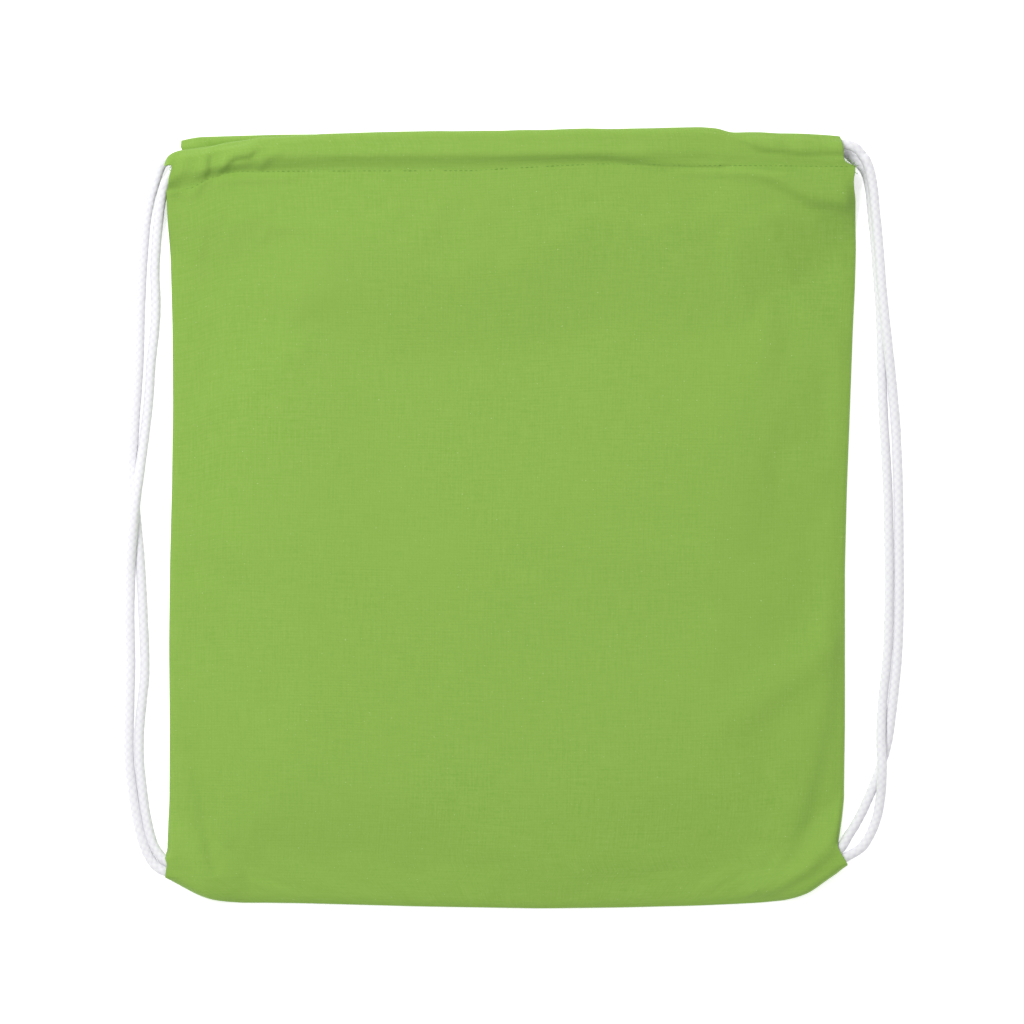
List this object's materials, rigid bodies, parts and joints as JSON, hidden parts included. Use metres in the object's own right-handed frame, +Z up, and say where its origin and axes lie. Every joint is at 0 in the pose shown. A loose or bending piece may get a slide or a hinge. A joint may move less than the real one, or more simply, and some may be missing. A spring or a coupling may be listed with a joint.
{
  "type": "drawstring bag",
  "caption": "Flat square cotton drawstring backpack lying on its back, with a hemmed mouth and two white braided cords that draw it closed and serve as shoulder straps.",
  "frame": {"origin": "under the middle of the bag without its cords, on the surface the back panel lies on", "axes": "+Y towards the mouth, +Z up out of the front panel, +X to the right as the front is looked at with the mouth at the top"},
  "size_m": [0.432, 0.4315, 0.0244],
  "materials": {
    "green_cotton": "matte",
    "green_thread": "matte",
    "white_cord": "matte"
  },
  "bodies": {
    "bag": {"front_panel": "green_cotton", "back_panel": "green_cotton", "front_hem_stitching": "green_thread", "back_hem_stitching": "green_thread", "left_seam_overlock": "green_thread", "right_seam_overlock": "green_thread", "bottom_seam_overlock": "green_thread", "left_corner_stitches": "green_thread", "right_corner_stitches": "green_thread"},
    "left_strap": {"left_cord": "white_cord"},
    "right_strap": {"right_cord": "white_cord"}
  },
  "joints": [
    {"name": "left_cord_slide", "type": "slide", "parent": "bag", "child": "left_strap", "axis": [-1, 0, 0], "range_m": [-0.002, 0.003], "deforming": ["left_cord"]},
    {"name": "right_cord_slide", "type": "slide", "parent": "bag", "child": "right_strap", "axis": [1, 0, 0], "range_m": [-0.002, 0.003], "deforming": ["right_cord"]}
  ]
}
